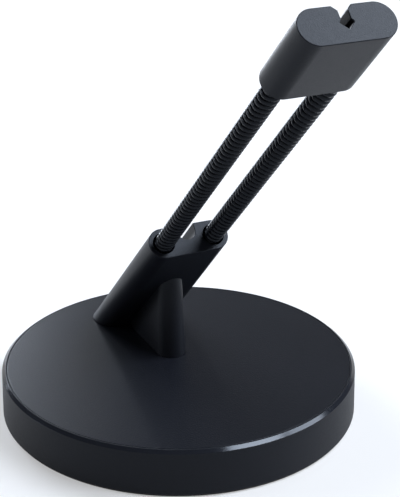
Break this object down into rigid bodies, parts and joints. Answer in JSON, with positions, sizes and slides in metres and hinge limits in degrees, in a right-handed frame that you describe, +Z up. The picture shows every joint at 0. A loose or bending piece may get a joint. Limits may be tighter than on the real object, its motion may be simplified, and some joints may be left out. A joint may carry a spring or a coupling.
{
  "type": "mouse bungee",
  "caption": "Weighted round base with a slanted post and two parallel coil springs that hold a slotted head over the desk, to keep a mouse cord off it.",
  "frame": {"origin": "centre of the rubber foot's flat underside", "axes": "+Z up; the post stands at the back, towards +Y, and the spring arm leans forward over the base, towards -Y; the object is the same on both sides of X = 0"},
  "size_m": [0.0922, 0.1248, 0.1214],
  "materials": {
    "shell_plastic": "satin moulded, very fine grain",
    "plate_plastic": "matte, fine leather-like grain",
    "arm_plastic": "satin moulded, very fine grain",
    "spring_steel": "black coated, semi-gloss",
    "weight_steel": "zinc plated",
    "fastener_steel": "zinc plated",
    "insert_brass": "machined",
    "foot_rubber": "matte",
    "foam": "closed-cell foam"
  },
  "bodies": {
    "stand": {"base_shell": "shell_plastic", "top_plate": "plate_plastic", "steel_weight": "weight_steel", "foam_pad": "foam", "bottom_cover": "shell_plastic", "cover_screws": "fastener_steel", "rubber_foot": "foot_rubber", "post": "arm_plastic", "post_inserts": "insert_brass", "post_screws": "fastener_steel", "lower_plug_left": "fastener_steel", "lower_plug_right": "fastener_steel"},
    "springs": {"spring_left": "spring_steel", "spring_right": "spring_steel"},
    "head": {"head": "arm_plastic", "upper_plug_left": "fastener_steel", "upper_plug_right": "fastener_steel"}
  },
  "joints": [
    {"name": "arm_nod", "type": "hinge", "parent": "stand", "child": "springs", "pos_m": [0, -0.02036, 0.06286], "axis": [1, 0, 0], "range_deg": [-15, 30], "stiffness_Nm_per_rad": 0.3, "deforming": ["spring_left", "spring_right"]},
    {"name": "arm_sway", "type": "hinge", "parent": "springs", "child": "head", "pos_m": [0, -0.04758, 0.09008], "axis": [0, 0.7071, 0.7071], "range_deg": [-25, 25], "stiffness_Nm_per_rad": 0.15, "deforming": ["spring_left", "spring_right"]}
  ]
}
